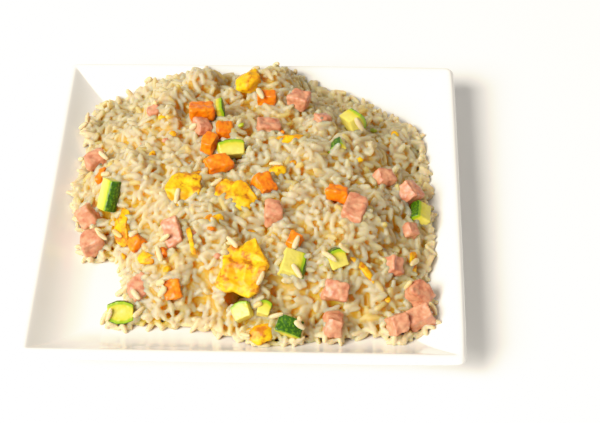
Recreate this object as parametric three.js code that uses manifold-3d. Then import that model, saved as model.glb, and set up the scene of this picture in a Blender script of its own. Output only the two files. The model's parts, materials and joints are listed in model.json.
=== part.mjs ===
// Fried rice with ham, carrot, courgette and egg, heaped on a square white plate.
// Millimetres, +Z up. The origin is on the table under the middle of the plate, and -Y is the diner's side.
import * as THREE from "three";
import { ConvexGeometry } from "three/addons/geometries/ConvexGeometry.js";
import { mergeVertices } from "three/addons/utils/BufferGeometryUtils.js";
import Module from "manifold-3d";

// The plate.
const PLATE_SIDE = 200;
const PLATE_HEIGHT = 20.6;
const LIP_WIDTH = 5;
const LIP_RISE = 0.6; // the rounded lip's crown above its inner edge
const LIP_DROP = 2.4; // from the crown to the lip's widest line
const WALL_RUN = 27; // level distance from the lip's inner edge to the well
const WALL_DROP = 12.5; // from the lip's inner edge down to the well
const SHELL = 4.5; // thickness of the porcelain under the well
const OUTER_CORNER = 5.5;
const CREASE_CORNER = 1; // the mitred corners of the inner wall
const FOOT_HALF = 58;
const FOOT_WIDTH = 6;
const FOOT_CORNER = 9;
const CORNER_STEPS = 3;
const WALL_STEPS = 5;

// The rice.
const GAP = 0.35; // between touching solids
const GRAIN_LENGTH = 7.8;
const GRAIN_WIDTH = 2.9;
const GRAIN_PITCH = 12; // between the grains that stand out
const GRAIN_PROUD = 1.2; // of a grain's middle over the dome
const GRAIN_TILT = 0.35; // radians
const GRAIN_CLEARANCE = 8; // from the middle of a topping
const HEAP_CENTRE = new THREE.Vector2(0, 3);
const HEAP_CROWN = 37; // height above the table of the heap's smooth dome
const HEAP_EDGE = 2.4; // thickness of the heap's outermost grains
const HEAP_PITCH = 6; // of the net of points on the heap
const HEAP_ROUGHNESS = 1.5;
const OUTLINE_STEPS = 110;
const OUTLINE_ROUGHNESS = 0.014; // in parts of the distance from the middle
const CEILING = 90; // above everything on the plate
const SEED = 7;

// The toppings.
const CHAMFER = 0.13; // of a die's edge, in parts of its shortest side
const UNEVEN = 0.13; // of a die's corners, in parts of its sides
const RIND_ARCH = 0.16; // of a courgette's rind, in parts of the cut's depth
const SHEET_STEP = 3.4; // along a sheet of egg
const SHEET_STEP_ACROSS = 4;
const SHEET_LOBES = 0.12; // of its outline, in parts of its size
const SHEET_ROUND = 0.4; // of its corners: 0 leaves them square, 0.5 makes a round sheet

const UP = new THREE.Vector3(0, 0, 1);
const plateHalf = PLATE_SIDE / 2;
const lipHalf = plateHalf - LIP_WIDTH;
const wellHalf = lipHalf - WALL_RUN;
const lipHeight = PLATE_HEIGHT - LIP_RISE;
const wellHeight = lipHeight - WALL_DROP;
const underHeight = wellHeight - SHELL;

const wasm = await Module();
wasm.setup();

// A repeatable stream of numbers from 0 to 1.
function randomStream(seed) {
  let state = seed >>> 0;
  return () => {
    state = (state + 0x6d2b79f5) >>> 0;
    let t = Math.imul(state ^ (state >>> 15), 1 | state);
    t = (t + Math.imul(t ^ (t >>> 7), 61 | t)) ^ t;
    return ((t ^ (t >>> 14)) >>> 0) / 4294967296;
  };
}
const random = randomStream(SEED);
const jitter = (size) => (random() * 2 - 1) * size;

// Solids and geometries.
function merged(geometry) {
  const bare = geometry.clone();
  bare.deleteAttribute("normal");
  bare.deleteAttribute("uv");
  return mergeVertices(bare, 1e-3);
}

function toSolid(geometry) {
  const shared = merged(geometry);
  return new wasm.Manifold(
    new wasm.Mesh({
      numProp: 3,
      vertProperties: shared.attributes.position.array,
      triVerts: new Uint32Array(shared.index.array),
    }),
  );
}

function toGeometry(solid) {
  const mesh = solid.getMesh();
  const geometry = new THREE.BufferGeometry();
  geometry.setAttribute("position", new THREE.BufferAttribute(mesh.vertProperties, 3));
  geometry.setIndex(new THREE.BufferAttribute(mesh.triVerts, 1));
  geometry.computeVertexNormals();
  return geometry;
}

function largestBody(solid) {
  return solid.decompose().reduce((a, b) => (a.volume() > b.volume() ? a : b));
}

// Moves each point of a geometry, given as a vector, in place.
function reshape(geometry, move) {
  const position = geometry.attributes.position;
  const point = new THREE.Vector3();
  for (let i = 0; i < position.count; i++) {
    move(point.fromBufferAttribute(position, i));
    position.setXYZ(i, point.x, point.y, point.z);
  }
  geometry.computeVertexNormals();
  return geometry;
}

// The geometry grown by a clearance, to cut room for it.
function grown(geometry, clearance) {
  const shared = merged(geometry);
  shared.computeVertexNormals();
  const { position, normal } = shared.attributes;
  for (let i = 0; i < position.count; i++) {
    const point = new THREE.Vector3().fromBufferAttribute(position, i);
    point.addScaledVector(new THREE.Vector3().fromBufferAttribute(normal, i), clearance);
    position.setXYZ(i, point.x, point.y, point.z);
  }
  return shared;
}

// One level ring of a rounded square, as points in order.
function squareRing({ half, corner, z }) {
  const inner = half - corner;
  const signs = [[1, 1], [-1, 1], [-1, -1], [1, -1]];
  return signs.flatMap(([sx, sy], quarter) =>
    Array.from({ length: CORNER_STEPS + 1 }, (_, i) => {
      const angle = (quarter + i / CORNER_STEPS) * (Math.PI / 2);
      return [sx * inner + corner * Math.cos(angle), sy * inner + corner * Math.sin(angle), z];
    }),
  );
}

// A closed solid through a list of rings, from the middle of its underside to the middle of its top.
function squareLoft(rings) {
  const loops = rings.map(squareRing);
  const n = loops[0].length;
  const positions = loops.flat();
  const bottom = positions.length;
  positions.push([0, 0, rings[0].z]);
  positions.push([0, 0, rings.at(-1).z]);
  const faces = [];
  for (let i = 0; i < n; i++) {
    const j = (i + 1) % n;
    faces.push([bottom, j, i]);
    for (let r = 0; r + 1 < loops.length; r++) {
      const [a, b] = [r * n, (r + 1) * n];
      faces.push([a + i, a + j, b + j], [a + i, b + j, b + i]);
    }
    const top = (loops.length - 1) * n;
    faces.push([top + i, top + j, bottom + 1]);
  }
  const geometry = new THREE.BufferGeometry();
  geometry.setAttribute("position", new THREE.Float32BufferAttribute(positions.flat(), 3));
  geometry.setIndex(faces.flat());
  geometry.computeVertexNormals();
  return geometry;
}

// Height of the plate's inner face at a level distance from the axis, measured square-wise.
function innerHeight(half) {
  const up = THREE.MathUtils.clamp((half - wellHalf) / WALL_RUN, 0, 1);
  return wellHeight + WALL_DROP * up * up;
}

// The inner face as rings from the well out to the lip, raised by a clearance.
function innerRings(clearance) {
  return Array.from({ length: WALL_STEPS + 1 }, (_, i) => {
    const half = wellHalf + (WALL_RUN * i) / WALL_STEPS;
    return { half, corner: CREASE_CORNER, z: innerHeight(half) + clearance };
  });
}

function plateGeometry() {
  const foot = (half, z) => ({ half, corner: FOOT_CORNER, z });
  const outer = Array.from({ length: WALL_STEPS }, (_, i) => {
    const up = (i + 1) / WALL_STEPS;
    const half = THREE.MathUtils.lerp(FOOT_HALF + 10, plateHalf - 1.2, up);
    const lowest = underHeight + 0.4;
    const highest = PLATE_HEIGHT - LIP_DROP - 2.2;
    return { half, corner: OUTER_CORNER, z: lowest + (highest - lowest) * up ** 1.6 };
  });
  const lip = [
    { half: plateHalf, corner: OUTER_CORNER, z: PLATE_HEIGHT - LIP_DROP },
    { half: plateHalf - 0.5, corner: OUTER_CORNER, z: PLATE_HEIGHT - 1.1 },
    { half: plateHalf - 1.6, corner: OUTER_CORNER - 1, z: PLATE_HEIGHT - 0.2 },
    { half: plateHalf - 2.8, corner: OUTER_CORNER - 2, z: PLATE_HEIGHT },
    { half: plateHalf - 4, corner: CREASE_CORNER + 1, z: PLATE_HEIGHT - 0.15 },
  ];
  return squareLoft([
    foot(FOOT_HALF - FOOT_WIDTH, underHeight),
    foot(FOOT_HALF - FOOT_WIDTH / 2, 0.4),
    foot(FOOT_HALF - FOOT_WIDTH / 2 + 0.8, 0),
    foot(FOOT_HALF + FOOT_WIDTH / 2 - 1.4, 0),
    foot(FOOT_HALF + FOOT_WIDTH / 2 - 0.6, 0.5),
    foot(FOOT_HALF + FOOT_WIDTH / 2 + 1, underHeight),
    ...outer,
    ...lip,
    ...innerRings(0).reverse(),
  ]);
}

// The heap's outline on the plate, anticlockwise from the right.
const HEAP_OUTLINE = [
  [85, -6], [83, 20], [82, 44], [77, 60], [66, 70], [50, 80], [38, 84], [22, 89], [6, 92], [-12, 90],
  [-30, 91], [-46, 90], [-57, 86], [-68, 80], [-80, 74], [-85, 56], [-84, 32], [-86, 8], [-84, -6],
  [-73, -13], [-66, -28], [-57, -40], [-57, -52], [-50, -60], [-47, -71], [-33, -71], [-20, -73],
  [-4, -80], [14, -82], [34, -79], [52, -77], [72, -76], [76, -66], [80, -54], [84, -40], [85, -26],
];
const outlineCurve = new THREE.CatmullRomCurve3(
  HEAP_OUTLINE.map(([x, y]) => new THREE.Vector3(x, y, 0)),
  true,
);

// Clumps and hollows of the heap: place, rise of the dome there and spread.
const CLUMPS = [
  { at: [-40, 77], rise: 10, spread: 15 },
  { at: [-24, 80], rise: 8, spread: 11 },
  { at: [-12, 80], rise: -10, spread: 6 },
  { at: [8, 78], rise: 20, spread: 12 },
  { at: [-63, 70], rise: -16, spread: 9 },
  { at: [-76, 58], rise: -10, spread: 18 },
  { at: [-55, 12], rise: 4, spread: 18 },
  { at: [62, 48], rise: -8, spread: 22 },
  { at: [28, 12], rise: 3, spread: 14 },
  { at: [44, -22], rise: 3, spread: 14 },
  { at: [-20, -30], rise: 2, spread: 16 },
  { at: [10, -66], rise: 4, spread: 14 },
  { at: [62, -58], rise: -4, spread: 14 },
  { at: [-30, 35], rise: 2, spread: 12 },
];

// Radius of the outline from the heap's centre, in every direction.
const outlineRadii = outlineCurve
  .getSpacedPoints(720)
  .map((p) => {
    const [dx, dy] = [p.x - HEAP_CENTRE.x, p.y - HEAP_CENTRE.y];
    return [Math.atan2(dy, dx), Math.hypot(dx, dy)];
  })
  .sort((a, b) => a[0] - b[0]);

function outlineRadius(angle) {
  const after = outlineRadii.findIndex(([a]) => a >= angle);
  if (after <= 0) return outlineRadii[0][1];
  const [[a0, r0], [a1, r1]] = [outlineRadii[after - 1], outlineRadii[after]];
  return r0 + ((r1 - r0) * (angle - a0)) / Math.max(a1 - a0, 1e-9);
}

// How far out a place is: 0 at the heap's centre, 1 on its outline.
function outness(x, y) {
  const [dx, dy] = [x - HEAP_CENTRE.x, y - HEAP_CENTRE.y];
  return Math.hypot(dx, dy) / outlineRadius(Math.atan2(dy, dx));
}

// The dome with its clumps, without single grains.
function domeHeight(x, y) {
  const out = Math.min(outness(x, y), 1);
  const floor = innerHeight(Math.max(Math.abs(x), Math.abs(y))) + HEAP_EDGE;
  const crown = CLUMPS.reduce((sum, { at, rise, spread }) => {
    const away = ((x - at[0]) ** 2 + (y - at[1]) ** 2) / spread ** 2;
    return sum + rise * Math.exp(-away);
  }, HEAP_CROWN);
  return floor + (crown - floor) * (1 - out ** 4) ** 0.8;
}

function domeNormal(x, y) {
  const step = 3;
  return new THREE.Vector3(
    (domeHeight(x - step, y) - domeHeight(x + step, y)) / (2 * step),
    (domeHeight(x, y - step) - domeHeight(x, y + step)) / (2 * step),
    1,
  ).normalize();
}

// Toppings. Each has its place on the heap, the height of its middle above the dome, its sides and its
// turns in degrees about its own X, Y and Z before it lies down on the slope.
function dieGeometry(sides) {
  const chamfer = Math.min(...sides) * CHAMFER;
  const corners = [];
  const points = [];
  for (let i = 0; i < 8; i++) {
    const signs = [i & 1, i & 2, i & 4].map((bit) => (bit ? 1 : -1));
    const corner = signs.map((sign, k) => sign * sides[k] * (0.5 + jitter(UNEVEN / 2)));
    corners.push(new THREE.Vector3(...corner));
    for (let k = 0; k < 3; k++) {
      const point = [...corner];
      point[k] -= signs[k] * chamfer;
      points.push(new THREE.Vector3(...point));
    }
  }
  const die = new ConvexGeometry(points);
  die.userData.plain = new ConvexGeometry(corners);
  return die;
}

// A cut of courgette: its rind is the arched face towards +Z, or both faces on a narrow one.
function courgetteGeometry([width, length, depth], rinds = 1) {
  const [w, d] = [width / 2, depth / 2];
  const arch = depth * RIND_ARCH;
  const section = new THREE.Shape();
  section.moveTo(w, d - arch);
  section.quadraticCurveTo(0, d + arch, -w, d - arch);
  if (rinds === 2) {
    section.lineTo(-w, -d + arch);
    section.quadraticCurveTo(0, -d - arch, w, -d + arch);
  } else {
    section.lineTo(-w * (0.92 + jitter(0.06)), -d);
    section.lineTo(w * (0.9 + jitter(0.08)), -d);
  }
  const cut = { depth: length, bevelEnabled: false, curveSegments: 3 };
  const geometry = new THREE.ExtrudeGeometry(section, cut);
  geometry.translate(0, 0, -length / 2).rotateX(Math.PI / 2);
  const taper = jitter(0.12);
  return reshape(geometry, (p) => p.multiply(new THREE.Vector3(1 + taper * (p.y / length), 1, 1)));
}

// A piece of fried egg: a lobed sheet of the given length and width that curls along its length and crumples.
function eggGeometry([length, width, thick], { curl = 0, crumple = 0.8, taper = 0 } = {}) {
  const along = Math.max(2, Math.round(length / SHEET_STEP));
  const across = Math.max(1, Math.round(width / SHEET_STEP_ACROSS));
  const geometry = new THREE.BoxGeometry(1, 1, 1, along, across, 1);
  const bend = THREE.MathUtils.degToRad(curl);
  const phase = random() * 6;
  return reshape(geometry, (p) => {
    const [u, v] = [2 * p.x, 2 * p.y];
    const lobe = 1 + SHEET_LOBES * Math.sin(5 * Math.atan2(v, u) + phase);
    const s = 0.5 * length * u * lobe * Math.sqrt(1 - SHEET_ROUND * v * v);
    const t = 0.5 * width * v * lobe * Math.sqrt(1 - SHEET_ROUND * u * u) * (1 + taper * u);
    const rim = Math.hypot(u, v);
    const ripple = Math.sin(s * 0.75 + phase) + Math.sin(t * 0.8 + phase * 2 + s * 0.3);
    const h = p.z * thick * (1.15 - rim * 0.4) + crumple * (1.4 - 0.6 * rim) * ripple;
    if (bend < 0.01) return p.set(s, t, h);
    const radius = length / bend;
    const angle = s / radius;
    return p.set((radius + h) * Math.sin(angle), t, (radius + h) * Math.cos(angle) - radius);
  });
}

// A curd of egg: an uneven lump.
function curdGeometry([length, width, height], detail = 1) {
  const geometry = new THREE.IcosahedronGeometry(0.5, detail);
  const phase = random() * 6;
  return reshape(geometry, (p) => {
    const bulge = 1 + 0.16 * Math.sin(p.x * 9 + phase) * Math.cos(p.y * 8 + phase) + 0.1 * Math.sin(p.z * 11);
    p.set(p.x * length * bulge, p.y * width * bulge, p.z * height * bulge);
  });
}

const HAM = [
  { at: [-76, 21], lift: 1, sides: [10, 9, 9], turn: [25, 20, 40] },
  { at: [-76.6, -8.6], lift: 2, sides: [9, 10, 8.5], turn: [10, 0, 20] },
  { at: [-74, -26], height: 15, sides: [9.5, 9, 9.5], turn: [0, -8, 20] },
  { at: [-48, -57], height: 17, sides: [11, 10, 10.5], turn: [15, -10, 30] },
  { at: [-33, -38], lift: 1, sides: [8, 13, 8], turn: [10, 0, 12] },
  { at: [-50, 47], lift: 0, sides: [6, 6, 6], turn: [20, 0, 15] },
  { at: [-25, 31], lift: 0, sides: [7, 8, 6], turn: [0, 20, 30] },
  { at: [7, 33], lift: 0, sides: [11, 8, 7], turn: [0, 10, 5] },
  { at: [21, 56], lift: 1, sides: [9, 8, 8], turn: [15, 0, -20] },
  { at: [33, 42], lift: 0, sides: [7, 6, 6], turn: [0, 0, 40] },
  { at: [12, -26], lift: 1, sides: [8, 10, 8], turn: [0, 0, 10] },
  { at: [49, -24], lift: 1, sides: [9, 14, 8], turn: [0, -10, -15] },
  { at: [63, 6], lift: 0, sides: [8, 7, 7], turn: [10, 0, 30] },
  { at: [74, 1], lift: 2, sides: [8, 9, 8], turn: [0, 10, 35] },
  { at: [75, -23], lift: 1, sides: [6, 6, 5], turn: [0, 0, 20] },
  { at: [67, -47], lift: 1, sides: [7, 8, 7], turn: [0, 15, 10] },
  { at: [41, -64], lift: 1, sides: [11, 8, 7], turn: [0, 0, -10] },
  { at: [40, -75], lift: 3, sides: [8, 9, 10], turn: [15, 0, -5] },
  { at: [76, -57], lift: 4.5, sides: [11, 9, 9], turn: [10, -5, -25] },
  { at: [68, -74], lift: 3, sides: [8, 9, 9], turn: [0, 10, 20] },
  { at: [79, -71], height: 17, sides: [11, 8, 8], turn: [8, -15, 15] },
];
const CARROT = [
  { at: [-26, 41], lift: 1, sides: [12, 9, 8], turn: [0, 0, 10] },
  { at: [-14, 29], lift: 1, sides: [8, 7, 6], turn: [10, 10, 15] },
  { at: [-21, 21], lift: 0, sides: [6, 9, 7], turn: [0, 0, -20] },
  { at: [-15.7, 4.2], lift: 1, sides: [12, 8, 8], turn: [10, 0, 25] },
  { at: [7, -9], lift: 1, sides: [8, 10, 8], turn: [10, 10, 35] },
  { at: [5, 57], lift: 0, sides: [9, 6, 7], turn: [0, 0, 0] },
  { at: [41, -14], lift: 1, sides: [10, 6, 6], turn: [0, 0, -10] },
  { at: [-71, 6], lift: 1, sides: [3.5, 8, 6], turn: [0, 20, -10] },
  { at: [-51, -33], lift: 1, sides: [7, 7, 6], turn: [0, 0, 30] },
  { at: [-38, -46], lift: 1, sides: [5, 5, 5], turn: [0, 0, 20] },
  { at: [-33, -62], lift: 1, sides: [8, 9, 6], turn: [0, 0, 15] },
  { at: [22, -43], lift: 1, sides: [6, 7, 7], turn: [0, 0, -25] },
];
const COURGETTE = [
  { at: [-17, 45], lift: 1, sides: [8, 10, 4], turn: [0, 80, 5] },
  { at: [-10, 16], lift: 1, sides: [13, 8, 8], turn: [-60, 0, 10] },
  { at: [-65.4, -6.4], lift: 2, sides: [7.5, 15, 8.5], turn: [10, 70, -15] },
  { at: [-56.3, -68.2], height: 14.2, sides: [11.5, 7, 11], turn: [-45, 0, 3], rinds: 2 },
  { at: [22, -55], lift: 1, sides: [8, 12, 12], turn: [0, 100, -10] },
  { at: [41, -50], lift: 1, sides: [9, 8, 9], turn: [-60, 0, 25] },
  { at: [0, -73], lift: 2, sides: [9, 7, 8], turn: [-100, 0, 20] },
  { at: [9.6, -73], lift: 1, sides: [6, 7, 7], turn: [-110, 0, -15] },
  { at: [20, -78], lift: 3, sides: [12, 8, 8], turn: [-22, 0, -15] },
  { at: [48, 47], lift: 1, sides: [9, 10, 9], turn: [-30, 50, 0] },
  { at: [40, 20], lift: 0, sides: [9, 6, 6], turn: [-10, -60, 10] },
  { at: [79, -10], lift: 1, sides: [8, 11, 9], turn: [0, -95, -5] },
];
const EGG = [
  { at: [-30.5, -8], lift: 1, sides: [24.5, 16.5, 4], turn: [0, 0, 82], curl: 80 },
  { at: [-7, -15], lift: 2, sides: [26, 12, 4], turn: [15, 0, -30], curl: 80, crumple: 0.6 },
  { at: [-3, 68], lift: 2, sides: [14, 12, 11], turn: [0, 0, 30], curd: 2 },
  { at: [0, -57], lift: 2, sides: [27, 21, 4], turn: [0, 0, 75], curl: 25, taper: -0.15 },
  { at: [9, -81.5], lift: 4.6, sides: [11, 9, 8], turn: [0, 0, 20], curd: 2 },
  { at: [17, 23], lift: 0, sides: [16, 6, 6], turn: [0, 0, 5], curd: 1 },
  { at: [13, 1], lift: 0, sides: [9, 7, 7], turn: [0, 0, 0], curd: 1 },
  { at: [-59, -23], lift: 1, sides: [20, 8.5, 3.6], turn: [0, 0, 85], curl: 50, crumple: 0.6 },
  { at: [-45, -46], lift: 1, sides: [10, 6, 5], turn: [0, 0, -20], curd: 1 },
  { at: [-15, -32], lift: 0, sides: [10, 7, 6], turn: [0, 0, 20], curd: 1 },
  { at: [-25, -43], lift: 2, sides: [18, 2.6, 2], turn: [0, 0, -75], curl: 20, crumple: 0.2 },
  { at: [53, -53], lift: 1, sides: [20, 3, 2.2], turn: [0, 0, -40], curl: 30, crumple: 0.2 },
  { at: [76, -41], lift: 1, sides: [15, 4, 2.4], turn: [0, 0, 95], curl: 30, crumple: 0.3 },
];

const group = new THREE.Group();
function finish(color, roughness) {
  return new THREE.MeshStandardMaterial({ color, roughness, metalness: 0 });
}
const porcelain = finish(0xf7f5f0, 0.12);
const cookedRice = finish(0xe8d7b0, 0.45);
const cookedHam = finish(0xd08a74, 0.5);
const cookedCarrot = finish(0xee7417, 0.4);
const cookedCourgette = finish(0xd9cb4a, 0.4);
const friedEgg = finish(0xe9ac0c, 0.5);

function addMesh(name, geometry, material, parent = group) {
  const mesh = new THREE.Mesh(geometry, material);
  mesh.name = name;
  parent.add(mesh);
  return mesh;
}

// Lays a topping on the slope of the heap under it, or sets its middle at a height of its own.
function layOn({ at: [x, y], lift, height, turn }, mesh) {
  const normal = height ? UP.clone() : domeNormal(x, y);
  const turned = new THREE.Euler(...turn.map((degrees) => THREE.MathUtils.degToRad(degrees)), "ZYX");
  mesh.quaternion.setFromUnitVectors(UP, normal).multiply(new THREE.Quaternion().setFromEuler(turned));
  mesh.position.set(x, y, height ?? domeHeight(x, y)).addScaledVector(normal, lift ?? 0);
}

const toppings = new THREE.Group();
group.add(toppings);
const kinds = [
  ["ham", HAM, cookedHam, ({ sides }) => dieGeometry(sides)],
  ["carrot", CARROT, cookedCarrot, ({ sides }) => dieGeometry(sides)],
  ["courgette", COURGETTE, cookedCourgette, ({ sides, rinds }) => courgetteGeometry(sides, rinds)],
  ["egg", EGG, friedEgg, (e) => (e.curd ? curdGeometry(e.sides, e.curd) : eggGeometry(e.sides, e))],
];
for (const [kind, pieces, material, shapeOf] of kinds) {
  pieces.forEach((piece, i) => layOn(piece, addMesh(`${kind}_${i + 1}`, shapeOf(piece), material, toppings)));
}

// A grain of rice lying on the heap, half sunk.
function grainSolid(x, y) {
  const grain = new THREE.Mesh(new THREE.SphereGeometry(0.5, 5, 3));
  const lying = new THREE.Euler(jitter(GRAIN_TILT), 0, random() * Math.PI * 2, "ZYX");
  const normal = domeNormal(x, y);
  grain.quaternion.setFromUnitVectors(UP, normal).multiply(new THREE.Quaternion().setFromEuler(lying));
  grain.scale.set(GRAIN_WIDTH, GRAIN_LENGTH, GRAIN_WIDTH).multiplyScalar(1 + jitter(0.1));
  grain.position.set(x, y, domeHeight(x, y)).addScaledVector(normal, GRAIN_PROUD + jitter(0.3));
  grain.updateMatrix();
  return toSolid(grain.geometry.applyMatrix4(grain.matrix));
}

// Grains spread evenly over the heap, clear of the toppings.
function grainSolids() {
  const grains = [];
  for (let column = -lipHalf; column < lipHalf; column += GRAIN_PITCH) {
    for (let row = -lipHalf; row < lipHalf; row += GRAIN_PITCH) {
      const [x, y] = [column + jitter(GRAIN_PITCH * 0.45), row + jitter(GRAIN_PITCH * 0.45)];
      const away = ({ position }) => Math.hypot(position.x - x, position.y - y) > GRAIN_CLEARANCE;
      if (outness(x, y) < 1 && toppings.children.every(away)) grains.push(grainSolid(x, y));
    }
  }
  return grains;
}

// The heap: a net of points over its outline, with single grains fused on.
function heapSolid(cutters) {
  const span = 2 * lipHalf;
  const steps = Math.round(span / HEAP_PITCH);
  const net = new THREE.BoxGeometry(span, span, 2, steps, steps, 1);
  const lumps = new Map();
  const lump = (key, size) => {
    if (!lumps.has(key)) lumps.set(key, jitter(size));
    return lumps.get(key);
  };
  reshape(net, (p) => {
    const key = `${p.x.toFixed(2)},${p.y.toFixed(2)}`;
    const top = p.z > 0;
    p.x += lump(key + "x", HEAP_PITCH * 0.25);
    p.y += lump(key + "y", HEAP_PITCH * 0.25);
    p.z = top ? domeHeight(p.x, p.y) + lump(key + "z", HEAP_ROUGHNESS) : -5;
  });
  const ragged = outlineCurve.getSpacedPoints(OUTLINE_STEPS).slice(0, -1);
  const rough = () => 1 + jitter(OUTLINE_ROUGHNESS);
  const outline = new THREE.Shape(ragged.map((p) => new THREE.Vector2(p.x * rough(), p.y * rough())));
  const column = new THREE.ExtrudeGeometry(outline, { depth: CEILING, bevelEnabled: false });
  const room = toSolid(
    squareLoft([...innerRings(GAP), { half: lipHalf - 0.5, corner: CREASE_CORNER, z: CEILING }]),
  );
  let heap = toSolid(net).intersect(toSolid(column));
  heap = wasm.Manifold.union([heap, ...grainSolids()]).intersect(room);
  return largestBody(heap.subtract(wasm.Manifold.union(cutters)));
}

group.updateMatrixWorld(true);
const cutters = toppings.children.map(({ geometry, matrixWorld }) =>
  toSolid(grown(geometry.userData.plain ?? geometry, GAP / 0.55).applyMatrix4(matrixWorld)),
);
addMesh("plate", plateGeometry(), porcelain);
addMesh("rice_heap", toGeometry(heapSolid(cutters)), cookedRice);

export default group;
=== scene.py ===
"""A plate of fried rice: the finish of every surface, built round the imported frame.

Lengths are metres, +Z is up and the diner sits towards -Y. Each topping is a dressed copy of its solid. The
rice is thousands of single grains, let down one by one and then melted onto a packed core and each other.
"""
import json
import logging
import math
from contextlib import contextmanager
from dataclasses import dataclass, field
from enum import Enum
from typing import Callable, Iterable, Iterator, Sequence

import bmesh
import bpy
import numpy as np
from mathutils import Matrix, Vector
from mathutils.bvhtree import BVHTree
from mathutils.kdtree import KDTree

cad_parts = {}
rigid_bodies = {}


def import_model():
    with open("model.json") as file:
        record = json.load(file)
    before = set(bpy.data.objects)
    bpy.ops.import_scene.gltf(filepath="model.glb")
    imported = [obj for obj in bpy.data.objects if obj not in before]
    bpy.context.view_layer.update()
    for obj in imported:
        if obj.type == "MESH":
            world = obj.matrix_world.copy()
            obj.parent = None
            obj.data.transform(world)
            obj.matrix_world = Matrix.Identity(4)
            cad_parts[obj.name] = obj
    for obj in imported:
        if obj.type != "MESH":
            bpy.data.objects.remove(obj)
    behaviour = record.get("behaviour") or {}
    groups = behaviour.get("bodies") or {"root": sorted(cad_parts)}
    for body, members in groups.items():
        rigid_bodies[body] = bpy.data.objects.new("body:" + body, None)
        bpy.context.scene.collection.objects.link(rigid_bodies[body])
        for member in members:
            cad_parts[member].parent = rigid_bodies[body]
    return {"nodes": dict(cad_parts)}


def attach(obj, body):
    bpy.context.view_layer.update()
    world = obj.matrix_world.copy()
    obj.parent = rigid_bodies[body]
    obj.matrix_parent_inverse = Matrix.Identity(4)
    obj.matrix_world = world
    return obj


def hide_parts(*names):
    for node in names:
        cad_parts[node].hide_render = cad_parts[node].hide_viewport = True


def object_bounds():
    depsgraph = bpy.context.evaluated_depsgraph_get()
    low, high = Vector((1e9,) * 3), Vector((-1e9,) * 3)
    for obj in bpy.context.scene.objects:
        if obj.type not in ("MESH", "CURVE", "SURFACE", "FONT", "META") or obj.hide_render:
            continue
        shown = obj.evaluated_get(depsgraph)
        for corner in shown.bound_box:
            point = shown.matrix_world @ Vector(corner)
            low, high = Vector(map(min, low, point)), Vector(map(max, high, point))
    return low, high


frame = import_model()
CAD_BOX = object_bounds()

logging.basicConfig(level=logging.INFO, format="%(message)s")
log = logging.getLogger("fried_rice")

MM = 0.001
SEED = 11
BODY = "root"
Socket = bpy.types.NodeSocket
Pair = tuple[float, float]
Triple = tuple[float, float, float]
Quad = tuple[float, float, float, float]
Colour = Quad
Grid = np.ndarray
Piece = bpy.types.Object
Material = bpy.types.Material


class Kind(Enum):
    """The kinds of topping, by the start of their nodes' names."""

    HAM = "ham"
    CARROT = "carrot"
    COURGETTE = "courgette"
    EGG = "egg"


TOPPING_NAMES = tuple(kind.value + "_" for kind in Kind)


def paint(red: int, green: int, blue: int) -> Colour:
    """Turn a colour as seen on a screen into the linear one that a shader takes.

    Args:
        red: Red from 0 to 255.
        green: Green from 0 to 255.
        blue: Blue from 0 to 255.

    Returns:
        The linear colour with full alpha.
    """
    shares = [channel / 255 for channel in (red, green, blue)]
    linear = (share / 12.92 if share <= 0.04045 else ((share + 0.055) / 1.055) ** 2.4 for share in shares)
    return *linear, 1.0


def select_only(piece: Piece) -> None:
    """Make one object the only selected and the active one.

    Args:
        piece: The object.
    """
    for other in bpy.context.view_layer.objects:
        other.select_set(False)
    piece.select_set(True)
    bpy.context.view_layer.objects.active = piece


@contextmanager
def edited(piece: Piece) -> Iterator[None]:
    """Open a piece's whole mesh for editing, and close it again.

    Args:
        piece: The piece.
    """
    select_only(piece)
    bpy.ops.object.mode_set(mode="EDIT")
    bpy.ops.mesh.select_all(action="SELECT")
    yield
    bpy.ops.object.mode_set(mode="OBJECT")


def apply_modifier(piece: Piece, kind: str, **settings: object) -> None:
    """Add a modifier to a piece and apply it at once.

    Args:
        piece: The object to shape.
        kind: Blender's name of the modifier's type.
        **settings: Its settings.
    """
    select_only(piece)
    modifier = piece.modifiers.new(kind.title(), kind)
    for key, value in settings.items():
        setattr(modifier, key, value)
    bpy.ops.object.modifier_apply(modifier=modifier.name)


def added(name: str, data: bpy.types.ID) -> Piece:
    """Add an object to the scene.

    Args:
        name: Its name.
        data: Its mesh, camera or light.

    Returns:
        The object.
    """
    piece = bpy.data.objects.new(name, data)
    bpy.context.scene.collection.objects.link(piece)
    return piece


def copy_of_node(node: str, name: str) -> Piece:
    """Copy a solid of the frame into a new piece whose shared corners are merged.

    Args:
        node: The solid's node.
        name: The new piece's name.

    Returns:
        The new piece, in place.
    """
    piece = added(name, frame["nodes"][node].data.copy())
    piece.data.name = name
    piece.data.materials.clear()
    with edited(piece):
        bpy.ops.mesh.remove_doubles(threshold=0.002 * MM)
    return piece


def keep(piece: Piece, name: str, values: Sequence[float]) -> None:
    """Keep a value for each point on a piece, under a name that its material reads."""
    piece.data.attributes.new(name, "FLOAT", "POINT").data.foreach_set("value", values)


def clouds(name: str, size: float) -> bpy.types.Texture:
    """Make a soft noise that a displacement reads in place.

    Args:
        name: The noise's name.
        size: The width of its lumps.

    Returns:
        The noise.
    """
    noise = bpy.data.textures.get(name) or bpy.data.textures.new(name, type="CLOUDS")
    noise.noise_scale = size
    noise.noise_depth = 2
    return noise


def dress(piece: Piece, material: Material, slot: str, *nodes: str) -> None:
    """Give a finished piece its material and tie it to the frame.

    Args:
        piece: The finished piece.
        material: Its material.
        slot: The record's material slot that it stands for; not used.
        *nodes: The solids that it replaces.
    """
    piece.data.materials.clear()
    piece.data.materials.append(material)
    select_only(piece)
    bpy.ops.object.shade_smooth()
    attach(piece, BODY)
    if nodes:
        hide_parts(*nodes)
    log.info("%s: %d faces", piece.name, len(piece.data.polygons))


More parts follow.
